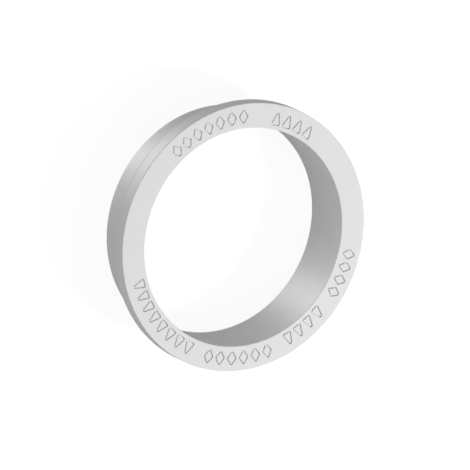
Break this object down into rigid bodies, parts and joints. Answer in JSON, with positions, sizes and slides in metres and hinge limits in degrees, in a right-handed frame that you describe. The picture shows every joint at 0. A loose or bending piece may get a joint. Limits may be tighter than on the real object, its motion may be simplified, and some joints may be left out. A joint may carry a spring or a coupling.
{
  "type": "pump impeller gasket",
  "caption": "Flanged plastic ring that surrounds the eye of a pump impeller: a broad flat face, a short sleeve behind it and a smooth bore right through.",
  "frame": {"origin": "middle of the sleeve's open end, on which the ring stands", "axes": "+Z along the bore towards the flange's broad face; +Y towards the middle of the shorter run of marks on that face"},
  "size_m": [0.0856, 0.0856, 0.0195],
  "materials": {
    "moulded_polyethylene": "smooth satin, as moulded"
  },
  "bodies": {
    "root": {"impeller_gasket": "moulded_polyethylene"}
  },
  "joints": []
}
